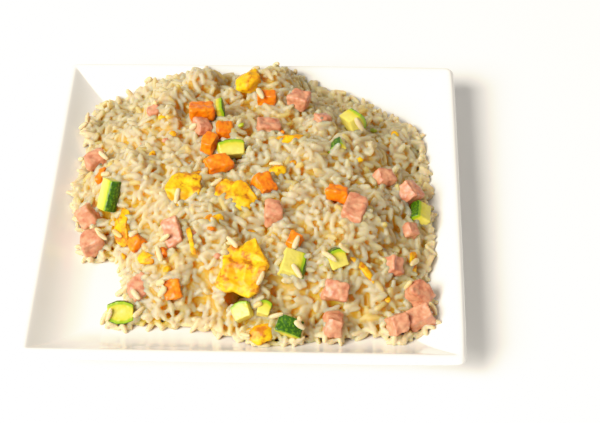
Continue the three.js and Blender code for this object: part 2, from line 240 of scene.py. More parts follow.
class NodeSheet:
    """A material with short calls to add and join its nodes."""

    MIX_FIRST, MIX_SECOND, MIX_RESULT = 6, 7, 2  # the colours' sockets among a Mix node's

    def __init__(self, name: str) -> None:
        """Start a material from its shader.

        Args:
            name: The material's name.
        """
        self.material = bpy.data.materials.new(name)
        self.material.use_nodes = True
        self.tree = self.material.node_tree
        self.shader = self.tree.nodes["Principled BSDF"]
        self.place = self.add("TexCoord").outputs["Object"]

    def feed(self, socket: Socket, value: object) -> None:
        """Set a socket, or link another socket to it.

        Args:
            socket: The socket.
            value: What goes into it.
        """
        if isinstance(value, Socket):
            self.tree.links.new(value, socket)
        else:
            socket.default_value = value

    def add(
        self, kind: str, inputs: dict[str | int, object] | None = None, **settings: object
    ) -> bpy.types.Node:
        """Add a node.

        Args:
            kind: The node's type without its prefix.
            inputs: What goes into its sockets, by name or number.
            **settings: Its settings.

        Returns:
            The node.
        """
        node = self.tree.nodes.new("ShaderNode" + kind)
        for key, value in settings.items():
            setattr(node, key, value)
        for key, value in (inputs or {}).items():
            self.feed(node.inputs[key], value)
        return node

    def noise(self, size: float, detail: float = 3, roughness: float = 0.5) -> Socket:
        """Noise whose lumps are about as wide as the given size."""
        inputs = {"Vector": self.place, "Scale": 1 / size, "Detail": detail, "Roughness": roughness}
        return self.add("TexNoise", inputs).outputs["Fac"]

    def attribute(self, name: str) -> Socket:
        """The value that a mesh keeps under a name."""
        return self.add("Attribute", attribute_name=name).outputs["Fac"]

    def ramp(self, factor: Socket, stops: Sequence[tuple[float, Colour]]) -> Socket:
        """Colours along a factor.

        Args:
            factor: The factor.
            stops: Each place from 0 to 1 with its colour.

        Returns:
            The colour.
        """
        node = self.add("ValToRGB", {"Fac": factor})
        elements = node.color_ramp.elements
        while len(elements) < len(stops):
            elements.new(1.0)
        for element, (position, colour) in zip(elements, stops):
            element.position = position
            element.color = colour
        return node.outputs["Color"]

    def mix(self, factor: Socket | float, first: object, second: object, blend: str = "MIX") -> Socket:
        """Blend two colours.

        Args:
            factor: How much of the second there is.
            first: The first colour.
            second: The second colour.
            blend: How they are blended.

        Returns:
            The colour.
        """
        node = self.add("Mix", {"Factor": factor}, data_type="RGBA", blend_type=blend)
        self.feed(node.inputs[self.MIX_FIRST], first)
        self.feed(node.inputs[self.MIX_SECOND], second)
        return node.outputs[self.MIX_RESULT]

    def span(
        self, value: Socket, low: float, high: float, to_low: float = 0.0, to_high: float = 1.0
    ) -> Socket:
        """Stretch a value's range onto another, clamped."""
        inputs = {"Value": value, "From Min": low, "From Max": high, "To Min": to_low, "To Max": to_high}
        return self.add("MapRange", inputs).outputs["Result"]

    def bump(self, height: Socket, depth: float, strength: float = 1.0) -> None:
        """Give the shader relief of a depth in metres."""
        inputs = {"Height": height, "Distance": depth, "Strength": strength}
        self.feed(self.shader.inputs["Normal"], self.add("Bump", inputs).outputs["Normal"])

    def finish(self, colour: Socket | Colour, **settings: object) -> Material:
        """Set the shader's colour and its other values.

        Args:
            colour: The colour.
            **settings: The values by their sockets' names, with _ for a space.

        Returns:
            The material.
        """
        self.feed(self.shader.inputs["Base Color"], colour)
        for key, value in settings.items():
            self.feed(self.shader.inputs[key.replace("_", " ")], value)
        return self.material


@dataclass(frozen=True)
class Porcelain:
    """White glaze over porcelain, with the faint waves that firing leaves."""

    body: Colour = paint(246, 245, 242)
    shade: Colour = paint(241, 239, 235)

    def material(self) -> Material:
        """Build the material.

        Returns:
            The material.
        """
        sheet = NodeSheet("Porcelain")
        colour = sheet.ramp(sheet.noise(45 * MM, 2), [(0.35, self.shade), (0.65, self.body)])
        sheet.bump(sheet.noise(14 * MM, 1), 0.12 * MM, 0.35)
        return sheet.finish(colour, Roughness=0.14, Coat_Weight=0.3, Coat_Roughness=0.04)


@dataclass(frozen=True)
class CookedRice:
    """Cream grains of slightly different tones, golden towards the gaps between them: partly oil, partly
    painted shade.

    Light goes far into the heap, and less far where the rice lies thin on the plate.
    """

    pale: Colour = paint(179, 162, 130)
    cream: Colour = paint(177, 157, 117)
    oil_and_shade: Colour = paint(186, 152, 82)
    golden: Colour = paint(204, 150, 34)
    thin: Colour = paint(204, 184, 142)
    scatter: float = 18.0 * MM
    thin_scatter: float = 3.0 * MM

    def material(self) -> Material:
        """Build the grains' material.

        Returns:
            The material.
        """
        sheet = NodeSheet("CookedRice")
        tones = [(0.0, self.oil_and_shade), (0.12, self.cream), (0.7, self.pale), (1.0, self.pale)]
        tone = sheet.ramp(sheet.attribute("grain_tone"), tones)
        patch = sheet.span(sheet.noise(26 * MM, 2), 0.45, 0.7, 0, 0.35)
        colour = sheet.mix(patch, tone, self.oil_and_shade)
        # Painted shade, partly oil: deeper in the gaps between grains the colour turns oily, then golden,
        # standing in for the shade that falls there.
        depth = sheet.attribute("grain_depth")
        colour = sheet.mix(sheet.span(depth, 0.15, 0.5), colour, self.oil_and_shade)
        colour = sheet.mix(sheet.span(depth, 0.4, 1.0), colour, self.golden)
        heaped = sheet.attribute("heap_height")
        colour = sheet.mix(sheet.span(heaped, 0.25, 0.75, 0.9, 0), colour, self.thin)
        scatter = sheet.span(heaped, 0.25, 0.75, self.thin_scatter, self.scatter)
        sheet.bump(sheet.noise(1.4 * MM, 1), 0.05 * MM, 0.5)
        return sheet.finish(
            colour, Roughness=0.42, Subsurface_Weight=1.0, Subsurface_Radius=(1.0, 0.6, 0.28),
            Subsurface_Scale=scatter, Specular_IOR_Level=0.24,
        )


# Paler colours for the loose grains; their gaps get the same painted shade, partly oil, golden by depth.
LOOSE_RICE = CookedRice(
    paint(204, 186, 146), paint(202, 182, 134), paint(200, 172, 106), paint(196, 150, 60), scatter=3.0 * MM
)


@dataclass(frozen=True)
class Mottled:
    """Moist food in a deep, a middle and a pale tone of its colour, with fine relief."""

    name: str
    tones: tuple[tuple[float, Colour], ...]
    glow: Triple
    patch: float
    detail: float
    relief: float
    relief_depth: float
    roughness: float
    specular: float

    def material(self) -> Material:
        """Build the material.

        Returns:
            The material.
        """
        sheet = NodeSheet(self.name)
        colour = sheet.ramp(sheet.noise(self.patch, 3, self.detail), self.tones)
        sheet.bump(sheet.noise(self.relief, 2), self.relief_depth, 0.5)
        return sheet.finish(
            colour, Roughness=self.roughness, Subsurface_Weight=0.2, Subsurface_Radius=self.glow,
            Subsurface_Scale=1.2 * MM, Specular_IOR_Level=self.specular,
        )


COOKED_HAM = Mottled(
    "CookedHam", ((0.25, paint(170, 86, 60)), (0.5, paint(198, 122, 90)), (0.75, paint(214, 150, 112))),
    glow=(1.0, 0.35, 0.25), patch=2.6 * MM, detail=0.5, relief=0.9 * MM, relief_depth=0.1 * MM,
    roughness=0.42, specular=0.5,
)
COOKED_CARROT = Mottled(
    "CookedCarrot", ((0.3, paint(212, 84, 1)), (0.5, paint(230, 108, 2)), (0.75, paint(238, 134, 8))),
    glow=(1.0, 0.4, 0.1), patch=3.0 * MM, detail=0.6, relief=0.8 * MM, relief_depth=0.08 * MM,
    roughness=0.38, specular=0.35,
)


@dataclass(frozen=True)
class CookedCourgette:
    """Dark green rind over bright green, then pale yellow flesh, by the depth under the rind."""

    rind: Colour = paint(34, 74, 2)
    rind_fleck: Colour = paint(76, 116, 8)
    bright: Colour = paint(128, 164, 12)
    flesh: Colour = paint(200, 186, 44)
    heart: Colour = paint(214, 198, 84)
    deepest: float = 6 * MM

    def material(self) -> Material:
        """Build the material.

        Returns:
            The material.
        """
        sheet = NodeSheet("CookedCourgette")
        wander = sheet.span(sheet.noise(2.5 * MM, 2), 0, 1, -0.05, 0.05)
        depth = sheet.span(sheet.attribute("rind_depth"), 0, self.deepest)
        depth = sheet.add("Math", {0: depth, 1: wander}, operation="ADD").outputs[0]
        fleck = sheet.mix(sheet.span(sheet.noise(1.2 * MM, 2), 0.5, 0.62), self.rind, self.rind_fleck)
        below = sheet.ramp(
            depth, [(0.05, self.bright), (0.2, self.bright), (0.36, self.flesh), (0.85, self.heart)]
        )
        colour = sheet.mix(sheet.span(depth, 0.045, 0.085, 1, 0), below, fleck)
        sheet.bump(sheet.noise(1.3 * MM, 2), 0.12 * MM, 0.7)
        return sheet.finish(
            colour, Roughness=0.34, Subsurface_Weight=0.2, Subsurface_Radius=(0.8, 0.7, 0.2),
            Subsurface_Scale=1.2 * MM, Specular_IOR_Level=0.35,
        )


@dataclass(frozen=True)
class FriedEgg:
    """Deep yellow egg that browned in patches where it met the pan."""

    yolk: Colour = paint(228, 158, 0)
    pale: Colour = paint(238, 184, 4)
    golden: Colour = paint(212, 126, 0)
    browned: Colour = paint(172, 82, 4)

    def material(self) -> Material:
        """Build the material.

        Returns:
            The material.
        """
        sheet = NodeSheet("FriedEgg")
        colour = sheet.ramp(
            sheet.noise(6 * MM, 2, 0.5), [(0.32, self.golden), (0.46, self.yolk), (0.66, self.pale)]
        )
        spots = sheet.span(sheet.noise(5.0 * MM, 4, 0.65), 0.5, 0.62, 0, 0.9)
        colour = sheet.mix(spots, colour, self.browned)
        sheet.bump(sheet.noise(1.6 * MM, 2), 0.12 * MM, 0.5)
        return sheet.finish(
            colour, Roughness=0.5, Subsurface_Weight=0.3, Subsurface_Radius=(1.0, 0.6, 0.1),
            Subsurface_Scale=2.0 * MM, Specular_IOR_Level=0.3,
        )


@dataclass(frozen=True)
class PlainFinish:
    """One even colour, for what only surrounds the object."""

    name: str
    colour: Colour
    roughness: float

    def material(self) -> Material:
        """Build the material."""
        return NodeSheet(self.name).finish(self.colour, Roughness=self.roughness)


@dataclass
class Plate:
    """The square plate, smoothed from its solid."""

    node: str = "plate"
    flat_angle: float = math.radians(40)
    rounds: int = 2

    def build(self) -> Piece:
        """Round the plate's facets and glaze it.

        Returns:
            The plate.
        """
        piece = copy_of_node(self.node, "glazed_plate")
        with edited(piece):
            flat = self.flat_angle
            bpy.ops.mesh.tris_convert_to_quads(face_threshold=flat, shape_threshold=flat)
        apply_modifier(piece, "SUBSURF", levels=self.rounds, render_levels=self.rounds)
        dress(piece, Porcelain().material(), "porcelain", self.node)
        return piece


@dataclass
class Topping:
    """A piece of food on the rice, dressed from its solid.

    The solid is made an even net, its edges are softened, and lumps of two sizes are raised on it.
    """

    node: str
    material: Material
    slot: str
    net: float = 0.5 * MM
    softening: int = 3
    lump: float = 2.6 * MM
    lump_height: float = 0.4 * MM
    grit: float = 0.9 * MM
    grit_height: float = 0.12 * MM

    def build(self) -> Piece:
        """Make the piece.

        Returns:
            The piece.
        """
        piece = copy_of_node(self.node, self.node.replace("_", "_piece_"))
        apply_modifier(piece, "REMESH", mode="VOXEL", voxel_size=self.net)
        apply_modifier(piece, "SMOOTH", factor=0.5, iterations=self.softening)
        for name, size, height in (
            (f"{self.slot}_lumps", self.lump, self.lump_height),
            (f"{self.slot}_grit", self.grit, self.grit_height),
        ):
            apply_modifier(
                piece, "DISPLACE", texture=clouds(name, size), texture_coords="LOCAL",
                strength=height, mid_level=0.5,
            )
        self.mark(piece)
        dress(piece, self.material, self.slot, self.node)
        return piece

    def mark(self, piece: Piece) -> None:
        """Keep on the mesh what the material needs; a plain topping needs nothing."""


@dataclass
class CourgetteCut(Topping):
    """A cut of courgette, which knows how deep under its rind each point lies."""

    arch_least: float = math.radians(7)
    arch_most: float = math.radians(32)

    def rind_tree(self) -> BVHTree:
        """Find the rind: the arched faces, whose normals differ a little from their neighbours'.

        Returns:
            The rind's faces.
        """
        mesh = frame["nodes"][self.node].data
        faces = [(face.normal.copy(), face.area, list(face.vertices)) for face in mesh.polygons]

        def arched(normal: Vector) -> bool:
            """Whether another face leans away from this one by an arch's small angle."""
            return any(self.arch_least < normal.angle(other, 0) < self.arch_most for other, _, _ in faces)

        points = [vertex.co.copy() for vertex in mesh.vertices]
        return BVHTree.FromPolygons(points, [corners for normal, _, corners in faces if arched(normal)])

    def mark(self, piece: Piece) -> None:
        """Keep each point's depth under the rind."""
        tree = self.rind_tree()
        keep(piece, "rind_depth", [tree.find_nearest(vertex.co)[3] for vertex in piece.data.vertices])


@dataclass
class HeightField:
    """Heights of what lies on the plate, over a square net of cells."""

    half: float = 98 * MM
    cell: float = 0.4 * MM

    def __post_init__(self) -> None:
        """Lay out the cells' middles."""
        self.count = round(2 * self.half / self.cell)
        self.axis = (np.arange(self.count) + 0.5) * self.cell - self.half

    def index(self, value: float) -> int:
        """The cell that holds a place along one axis."""
        return int(np.clip((value + self.half) / self.cell, 0, self.count - 1))

    def cell_at(self, x: float, y: float) -> tuple[int, int]:
        """The cell that holds a place."""
        return self.index(x), self.index(y)

    def cast(self, piece: Piece) -> Grid:
        """Measure a piece from above.

        Args:
            piece: The piece.

        Returns:
            Its top height in each cell, and -1 where it isn't.
        """
        points = [vertex.co for vertex in piece.data.vertices]
        tree = BVHTree.FromPolygons(points, [tuple(face.vertices) for face in piece.data.polygons])
        corners = np.array([tuple(point) for point in points])
        low, high = corners.min(0), corners.max(0)
        heights = np.full((self.count, self.count), -1.0)
        down = Vector((0, 0, -1))
        above = high[2] + 10 * MM
        for i in range(self.index(low[0]), self.index(high[0]) + 1):
            for j in range(self.index(low[1]), self.index(high[1]) + 1):
                hit = tree.ray_cast(Vector((self.axis[i], self.axis[j], above)), down)[0]
                if hit is not None:
                    heights[i, j] = hit.z
        return heights

    def blurred(self, values: Grid, reach: float, passes: int = 3) -> Grid:
        """Average each cell with its neighbours.

        Args:
            values: A value for each cell.
            reach: How far to each side the average reaches.
            passes: How often it is taken.

        Returns:
            The averaged values.
        """
        steps = max(1, round(reach / self.cell))
        width = 2 * steps + 1
        for _ in range(passes):
            for axis in (0, 1):
                pads = [(steps + 1, steps) if a == axis else (0, 0) for a in (0, 1)]
                total = np.cumsum(np.pad(values, pads, mode="edge"), axis=axis)
                ahead = np.take(total, range(width, width + self.count), axis=axis)
                behind = np.take(total, range(self.count), axis=axis)
                values = (ahead - behind) / width
        return values

    def waves(self, random: np.random.Generator, size: float) -> Grid:
        """Smooth random waves of about a given width, from -1 to 1."""
        values = self.blurred(random.normal(size=(self.count, self.count)), size / 4)
        return np.clip(values / (2 * values.std()), -1, 1)


@dataclass
class GrainShape:
    """One model grain of cooked rice, lying along X round the origin."""

    length: float
    width: float
    bend: float
    taper: float
    flatness: float = 0.88
    bluntness: float = 0.6
    sides: int = 8
    rings: int = 7

    def points(self) -> tuple[Grid, list[tuple[int, ...]]]:
        """Model the grain by hand and take its mesh.

        Returns:
            Its corners and its faces.
        """
        bpy.ops.mesh.primitive_uv_sphere_add(
            segments=self.sides, ring_count=self.rings, radius=self.length / 2
        )
        grain = bpy.context.object
        slim = self.width / self.length
        with edited(grain):
            bpy.ops.transform.resize(value=(slim, slim * self.flatness, 1))
            mesh = bmesh.from_edit_mesh(grain.data)
            for ring in range(1, self.rings):
                level = math.cos(math.pi * ring / self.rings)
                bpy.ops.mesh.select_all(action="DESELECT")
                for vertex in mesh.verts:
                    vertex.select_set(abs(vertex.co.z / (self.length / 2) - level) < 0.01)
                mesh.select_flush_mode()
                fuller = (1 - level**2) ** (self.bluntness / 2 - 0.5)
                bpy.ops.transform.resize(value=(fuller, fuller, 1))
        apply_modifier(grain, "SIMPLE_DEFORM", deform_method="TAPER", deform_axis="Z", factor=self.taper)
        apply_modifier(grain, "SIMPLE_DEFORM", deform_method="BEND", deform_axis="X", angle=self.bend)
        grain.data.transform(Matrix.Rotation(math.pi / 2, 4, "Y"))
        corners = np.array([tuple(vertex.co) for vertex in grain.data.vertices])
        corners -= (corners.min(0) + corners.max(0)) / 2
        faces = [tuple(face.vertices) for face in grain.data.polygons]
        bpy.data.objects.remove(grain)
        return corners, faces


@dataclass
class Grain:
    """A grain's place in the heap."""

    at: Triple
    turn: float
    tilt: float
    roll: float
    shape: int
    size: float
    tone: float

    def matrix(self) -> Grid:
        """The grain's turn and size as a matrix of columns."""
        turn = Matrix.Rotation(self.turn, 3, "Z") @ Matrix.Rotation(-self.tilt, 3, "Y")
        return np.array(turn @ Matrix.Rotation(self.roll, 3, "X")) * self.size


@dataclass
class RiceHeap:
    """The rice: a packed core from the heap's solid, and single grains let down on it.

    A swell of the heap, or a hollow, is a place in millimetres with a height and a reach.
    """

    node: str = "rice_heap"
    bed_depth: float = 8.5 * MM
    bed_share: float = 0.25
    bed_cover: float = 0.8
    dome_reach: float = 2.2 * MM
    foot_reach: float = 1.2 * MM
    hidden_depth: float = 0.6 * MM
    core_net: float = 1.2 * MM
    core_reach: float = 1.6 * MM
    core_depth: float = 2.0 * MM
    core_inset: float = 2.2 * MM
    core_softening: int = 6
    core_stretch: Pair = (0.1, 1.2)
    mound_size: float = 32 * MM
    mound_height: float = 2.8 * MM
    gap_depth: float = 1.2 * MM
    gap_reach: float = 0.4 * MM
    plug_sink: float = 0.35
    plug_tries: int = 4
    fill_tries: int = 5
    flow_size: float = 34 * MM
    heading_spread: float = 0.9
    clump_size: float = 16 * MM
    clump_step: float = 3.0 * MM
    clump_edge: float = 0.8 * MM
    clump_rise: float = 12 * MM
    wander_size: float = 12 * MM
    wander: float = 0.22
    opening_size: float = 22 * MM
    openness: float = 0.6
    least_open: float = 0.15
    crevice_width: float = 2.8 * MM
    crevice_depth: float = 8.0 * MM
    grain_length: float = 7.2 * MM
    grain_width: float = 2.85 * MM
    grain_sizes: Pair = (0.88, 1.08)
    shapes: tuple[Quad, ...] = (
        (1.0, 1.0, 0.35, 0.15), (1.12, 0.97, 0.55, -0.2), (0.86, 1.04, 0.2, 0.25),
        (1.04, 0.95, 0.8, 0.1), (0.7, 1.06, 0.3, -0.25), (1.08, 1.04, 0.15, 0.3),
    )
    most_grains: int = 6000
    choices: int = 12
    patience: int = 150
    most_proud: float = 1.0 * MM
    bank_reach: float = 2.4 * MM
    bank_drop: float = 1.2 * MM
    most_banked: float = 2.6 * MM
    bank_rise: float = 0.15
    bank_share: float = 0.3
    firmness: float = 0.8
    end_share: float = 0.2
    ends_apart: float = 1.15
    sway: float = math.radians(20)
    sunk: float = 0.5 * MM
    steepest: float = math.radians(52)
    overlap: float = 3.0 * MM
    clear_share: float = 0.85
    most_tucked: float = 0.4
    upright_grains: int = 700
    foot_grains: int = 700
    foot_rim: Triple = (2.0 * MM, 0.4, 0.95)
    upright_tilts: Pair = (25, 65)
    upright_sunk: Pair = (0.15, 0.5)
    side_grains: int = 1000
    steep_side: float = 0.75
    most_plugs: int = 1500
    # How deep a point lies in the gaps; the rice's material paints this depth golden as shade, partly oil.
    golden_depth: float = 6.0 * MM
    golden_crevice: float = 3.0 * MM
    level_reach: float = 3.5 * MM
    crevice_reach: float = 1.4 * MM
    golden_rise: float = 9.0 * MM
    least_rise: float = 0.2
    net: float = 0.54 * MM
    most_faces: int = 190000
    loose_grains: int = 64
    loose_fineness: float = 0.9
    topping_rim: Triple = (1.6 * MM, 0.3, 0.95)
    stray_grains: int = 16
    outer_rim: Triple = (2.4 * MM, 0.1, 0.3)
    perch: float = 6.4 * MM
    calmness: float = 0.7
    calm_dome: Triple = (-56, 4, 20)
    swells: tuple[Quad, ...] = (
        (-62, 52, -5, 7), (-46, 60, 4, 8), (-13, 58, -4, 8), (22, 56, -4.5, 7), (60, 56, -4, 8),
        (-57, 4, 3, 14), (46, -14, -6, 6), (62, 12, -5, 6), (32, -38, -5, 6), (-24, 14, -4.5, 8),
        (8, -32, -4, 7), (28, 12, 3.5, 9), (52, 30, 3, 9), (58, -28, 3.5, 8), (22, -20, 3, 7),
        (-30, -56, 3, 9),
    )
    area: HeightField = field(default_factory=HeightField)

    def __post_init__(self) -> None:
        """Seed the draws and model the grain shapes."""
        self.random = np.random.default_rng(SEED)
        self.grains: list[Grain] = []
        self.models = [
            GrainShape(self.grain_length * length, self.grain_width * width, bend, taper).points()
            for length, width, bend, taper in self.shapes
        ]

    def survey(self, plate: Piece, toppings: Iterable[Piece]) -> None:
        """Measure the plate, the heap's solid and the toppings from above.

        Args:
            plate: The finished plate.
            toppings: The finished toppings.
        """
        self.plate_top = self.area.cast(plate)
        heap = self.area.cast(frame["nodes"][self.node])
        self.topping_top = np.full_like(heap, -1.0)
        for topping in toppings:
            self.topping_top = np.maximum(self.topping_top, self.area.cast(topping))
        inside = heap > 0
        pocket = self.topping_top > 0
        known = (inside & ~pocket).astype(float)
        weight = self.area.blurred(known, self.dome_reach)
        smooth = self.area.blurred(np.where(known > 0, heap, 0.0), self.dome_reach)
        footprint = self.area.blurred((inside | pocket).astype(float), self.foot_reach)
        self.inside = footprint > 0.5
        self.calm = self.around(*self.calm_dome)
        clumps = self.clumps()
        self.dome = np.where(weight > 0.02, smooth / np.maximum(weight, 1e-6), self.plate_top)
        rise = np.clip((self.dome - self.plate_top) / self.clump_rise, 0, 1)
        self.target = self.dome + clumps * rise - self.grain_width * 0.5
        self.shown = (self.topping_top > self.dome - self.hidden_depth).astype(float)
        near = self.area.blurred(self.shown, self.bank_reach, 2)
        top = self.area.blurred(self.topping_top * self.shown, self.bank_reach, 2) / np.maximum(near, 1e-6)
        bank = np.clip(top - self.bank_drop - self.target, 0, self.most_banked)
        self.target += np.where(rise > self.bank_rise, bank * np.clip(near / self.bank_share, 0, 1), 0)
        self.target = np.maximum(self.target, self.bed() + self.bed_cover * self.grain_width)
        self.kept_clear = self.area.blurred(self.shown, self.overlap / 2, 2) > self.clear_share
        self.flow = self.area.waves(self.random, self.flow_size) * math.pi

    def clumps(self) -> Grid:
        """Raise the clumps that the rice sticks together in, with crevices between them.

        Returns:
            How far each cell stands over the solid.
        """
        half = self.area.half
        centres = self.random.uniform(-half, half, (round((2 * half / self.clump_size) ** 2), 2))
        levels = self.random.uniform(-1, 1, len(centres)) * self.clump_step
        along_x, along_y = (
            self.area.waves(self.random, self.wander_size) * self.clump_size * self.wander for _ in (0, 1)
        )
        nearest = np.full((self.area.count, self.area.count), np.inf)
        second = nearest.copy()
        level = np.zeros_like(nearest)
        for centre, own in zip(centres, levels):
            away = np.hypot(
                self.area.axis[:, None] + along_x - centre[0], self.area.axis[None, :] + along_y - centre[1]
            )
            nearer = away < nearest
            second = np.where(nearer, nearest, np.minimum(second, away))
            nearest = np.where(nearer, away, nearest)
            level = np.where(nearer, own, level)
        crevice = np.exp(-(second - nearest) / self.crevice_width)
        open_here = self.area.waves(self.random, self.opening_size) + self.openness
        open_here = np.clip(open_here, self.least_open, 1)
        mounds = self.area.waves(self.random, self.mound_size) * self.mound_height
        for x, y, height, reach in self.swells:
            mounds += height * MM * self.around(x, y, reach)
        split = level - crevice * open_here * self.crevice_depth
        return mounds + self.area.blurred(split, self.clump_edge, 2) * (1 - self.calmness * self.calm)

    def around(self, x: float, y: float, reach: float) -> Grid:
        """How near each cell is to a place in millimetres, falling from 1 to 0 over about a reach."""
        away = np.hypot(self.area.axis[:, None] - x * MM, self.area.axis[None, :] - y * MM)
        return np.exp(-((away / (reach * MM)) ** 2))

    def build_core(self) -> Piece:
        """Melt the solid into a core that fills the heap to just under the single grains.

        The toppings' solids fill their own pockets, so that none stays open beside a softened topping.

        Returns:
            The core.
        """
        toppings = [node for node in frame["nodes"] if node.startswith(TOPPING_NAMES)]
        fillings = [copy_of_node(node, "filling") for node in toppings]
        core = copy_of_node(self.node, "packed_rice")
        for filling in fillings:
            filling.select_set(True)
        bpy.ops.object.join()
        apply_modifier(core, "REMESH", mode="VOXEL", voxel_size=self.core_net)
        apply_modifier(core, "SMOOTH", factor=0.5, iterations=self.core_softening)
        apply_modifier(core, "DISPLACE", direction="NORMAL", mid_level=0, strength=-self.core_inset)
        filled = self.area.blurred(self.ground, self.core_reach, 2) - self.core_depth
        floor = self.plate_top
        room = np.maximum(self.dome - self.core_inset - floor, MM)
        share = np.clip((filled - floor) / room, *self.core_stretch)
        for vertex in core.data.vertices:
            cell = self.area.cell_at(vertex.co.x, vertex.co.y)
            held = min(vertex.co.z, self.dome[cell] - self.core_inset)
            vertex.co.z = floor[cell] + (held - floor[cell]) * share[cell]
        return core

    def bed(self) -> Grid:
        """Heights of the bed that the first grains lie on."""
        high = np.maximum(self.dome - self.plate_top, 0)
        return self.plate_top + np.maximum(high - self.bed_depth, high * self.bed_share)

    def let_down(self, x: float, y: float, turn: float, sway: float) -> Quad:
        """Find how a grain comes to rest over a place.

        Args:
            x: Where its middle is, along X.
            y: Where its middle is, along Y.
            turn: Its turn about +Z.
            sway: How much more it tilts than what is under its two ends would have it.

        Returns:
            Its middle's height, its tilt, how much of it lies over what is kept clear and how far it stands
            out of the heap.
        """
        half = self.grain_length / 2
        window, along, across = self.window(x, y, turn)
        ground = self.ground[window]
        level = self.under_side(along, across, 0.0)
        ends = [
            self.support((ground + level)[(level > 0) & (side * along > self.end_share * half)])
            for side in (1, -1)
        ]
        tilt = math.atan2(ends[0] - ends[1], self.ends_apart * half) + sway
        tilt = max(-self.steepest, min(self.steepest, tilt))
        body = self.under_side(along, across, tilt)
        covered = body > 0
        z = self.support((ground + body - along * math.tan(tilt))[covered])
        clear = float(np.mean(self.kept_clear[window][covered]))
        proud = float(np.mean((z + along * math.tan(tilt) + body - self.target[window])[covered]))
        return z, tilt, clear, proud - self.grain_width / 2

    def lowest(
        self, x: float, y: float, tries: int, heading: Callable[[], float]
    ) -> Triple | None:
        """Find the lowest of a few ways for a grain to rest over a place.

        Args:
            x: Where its middle is, along X.
            y: Where its middle is, along Y.
            tries: How many ways are tried.
            heading: Draws a turn about +Z.

        Returns:
            The height, turn and tilt, or None where it would cover a topping or stand out of the heap.
        """
        rests = []
        for _ in range(tries):
            turn = heading()
            z, tilt, clear, proud = self.let_down(x, y, turn, self.random.normal(0, self.sway))
            if clear < self.most_tucked and proud < self.most_proud:
                rests.append((z, turn, tilt))
        return min(rests, default=None)

    def support(self, heights: Grid) -> float:
        """The height that holds a soft grain up: near the highest of those under it."""
        rank = int(self.firmness * (len(heights) - 1))
        return float(np.partition(heights, rank)[rank])

    def under_side(self, along: Grid, across: Grid, tilt: float) -> Grid:
        """Find how far a tilted grain's lower side lies under its long axis.

        Args:
            along: How far along the grain each cell lies.
            across: How far across it.
            tilt: The grain's tilt.

        Returns:
            The depth in each cell, or 0 outside the grain.
        """
        flat = self.grain_length / 2 * math.cos(tilt)
        reach = 1 - (along / flat) ** 2 - (across / (self.grain_width / 2)) ** 2
        return self.grain_width / 2 * np.sqrt(np.maximum(reach, 0)) / math.cos(tilt)

    def window(
        self, x: float, y: float, turn: float
    ) -> tuple[tuple[slice, slice], Grid, Grid]:
        """Find the cells round a grain.

        Args:
            x: Where its middle is, along X.
            y: Where its middle is, along Y.
            turn: Its turn about +Z.

        Returns:
            The window of cells, and how far along and across the grain each one lies.
        """
        reach = math.ceil(self.grain_length / 2 / self.area.cell) + 1
        i, j = self.area.cell_at(x, y)
        window = (
            slice(max(i - reach, 0), min(i + reach + 1, self.area.count)),
            slice(max(j - reach, 0), min(j + reach + 1, self.area.count)),
        )
        dx = (self.area.axis[window[0]] - x)[:, None]
        dy = (self.area.axis[window[1]] - y)[None, :]
        along = dx * math.cos(turn) + dy * math.sin(turn)
        across = dy * math.cos(turn) - dx * math.sin(turn)
        return window, along, across

    def lay(self, x: float, y: float, turn: float, tilt: float, z: float) -> None:
        """Add a grain to the heap and raise the ground under the next ones.

        Args:
            x: Where its middle is, along X.
            y: Where its middle is, along Y.
            turn: Its turn about +Z.
            tilt: Its tilt.
            z: Its middle's height.
        """
        window, along, across = self.window(x, y, turn)
        body = self.under_side(along, across, tilt)
        top = z + along * math.tan(tilt) + body
        self.ground[window] = np.where(body > 0, np.maximum(self.ground[window], top), self.ground[window])
        draw = self.random
        roll = draw.uniform(-math.pi, math.pi)
        shape = int(draw.integers(len(self.models)))
        size = draw.uniform(*self.grain_sizes)
        self.grains.append(Grain((x, y, z), turn, tilt, roll, shape, size, draw.uniform(0, 1)))

    def draws(self, cells: Grid, count: int) -> Iterator[tuple[int, int, float, float]]:
        """Draw cells one by one, each with where its middle is."""
        for i, j in cells[self.random.integers(len(cells), size=count)]:
            yield i, j, self.area.axis[i], self.area.axis[j]

    def rim(self, area: Grid, reach: float, low: float, high: float) -> Grid:
        """The cells along an area's edge: where the area, blurred over a reach, is between two shares."""
        share = self.area.blurred(area.astype(float), reach, 1)
        return (share > low) & (share < high)

    def hem(self) -> None:
        """Lay grains round the foot of the heap, so that it ends on the plate."""
        cells = np.argwhere(self.rim(self.inside, *self.foot_rim) & (self.topping_top < 0))
        for i, j, x, y in self.draws(cells, self.foot_grains):
            if self.ground[i, j] > self.plate_top[i, j] + self.grain_width / 2:
                continue
            turn = self.random.uniform(-math.pi, math.pi)
            z, tilt, _, _ = self.let_down(x, y, turn, 0.0)
            self.lay(x, y, turn, tilt, z - self.sunk)

    def thatch(self) -> None:
        """Lay more grains on the steep sides, which are seldom reached from above."""
        steepness = np.hypot(*np.gradient(self.dome, self.area.cell))
        cells = np.argwhere(self.inside & ~self.kept_clear & (steepness > self.steep_side))
        draw = self.random
        for _, _, x, y in self.draws(cells, self.side_grains):
            turn = draw.uniform(-math.pi, math.pi)
            z, tilt, clear, proud = self.let_down(x, y, turn, draw.normal(0, self.sway))
            if clear < self.most_tucked and proud < 2 * self.most_proud:
                self.lay(x, y, turn, tilt, z - 2 * self.sunk)

